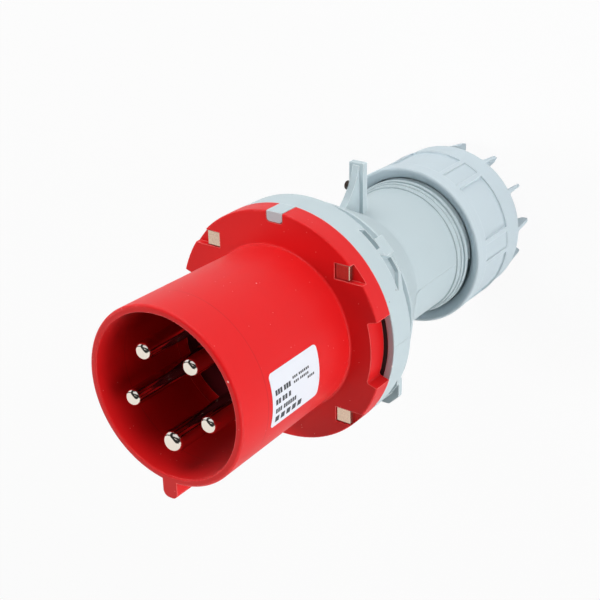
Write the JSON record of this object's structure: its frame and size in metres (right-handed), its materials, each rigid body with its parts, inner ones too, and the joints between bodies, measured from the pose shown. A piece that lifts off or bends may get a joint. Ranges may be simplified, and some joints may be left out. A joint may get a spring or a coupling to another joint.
{
  "type": "industrial pin and sleeve plug",
  "caption": "Straight industrial pin and sleeve plug with a round keyed sleeve, round contact pins, a notched flange, a grey rear housing with an ear and a finned cable gland nut.",
  "frame": {"origin": "centre of the flange's front face, on the plug's axis", "axes": "+Z along the plug's axis out of the sleeve's mouth, +Y to twelve o'clock, where the ear is"},
  "size_m": [0.109, 0.1125, 0.2488],
  "materials": {
    "red_moulding": "fine satin",
    "grey_moulding": "fine satin",
    "nut_moulding": "fine satin",
    "ring_moulding": "satin",
    "carrier_moulding": "satin",
    "contact_metal": "nickel plated",
    "plated_steel": "zinc plated",
    "nut_steel": "dull plated",
    "gasket_rubber": "matte",
    "seal_rubber": "matte"
  },
  "bodies": {
    "housing": {"front_sleeve": "red_moulding", "pin_carrier": "carrier_moulding", "flange_gasket": "gasket_rubber", "rear_housing": "grey_moulding", "ear_screw": "plated_steel", "cable_seal": "seal_rubber", "pin_l1": "contact_metal", "pin_l2": "contact_metal", "pin_l3": "contact_metal", "pin_neutral": "contact_metal", "pin_earth": "contact_metal", "terminal_screw_l1_1": "plated_steel", "terminal_screw_l1_2": "plated_steel", "terminal_screw_l2_1": "plated_steel", "terminal_screw_l2_2": "plated_steel", "terminal_screw_l3_1": "plated_steel", "terminal_screw_l3_2": "plated_steel", "terminal_screw_neutral_1": "plated_steel", "terminal_screw_neutral_2": "plated_steel", "terminal_screw_earth_1": "plated_steel", "terminal_screw_earth_2": "plated_steel", "carrier_screw_1": "plated_steel", "carrier_screw_2": "plated_steel", "carrier_screw_3": "plated_steel", "housing_screw_1": "plated_steel", "housing_screw_2": "plated_steel", "housing_screw_3": "plated_steel", "housing_screw_4": "plated_steel", "square_nut_1": "nut_steel", "square_nut_2": "nut_steel", "square_nut_3": "nut_steel", "square_nut_4": "nut_steel"},
    "thrust": {"thrust_ring": "ring_moulding"},
    "nut": {"gland_nut": "nut_moulding"}
  },
  "joints": [
    {"name": "gland_slide", "type": "slide", "parent": "housing", "child": "thrust", "axis": [0, 0, -1], "range_m": [0, 0.014]},
    {"name": "gland_turn", "type": "hinge", "parent": "thrust", "child": "nut", "pos_m": [0, 0, -0.13], "axis": [0, 0, -1], "range_deg": [0, 1260]}
  ],
  "couplings": [
    {"joint": "gland_slide", "follows": "gland_turn", "m_per_rad": 0.0006366}
  ]
}
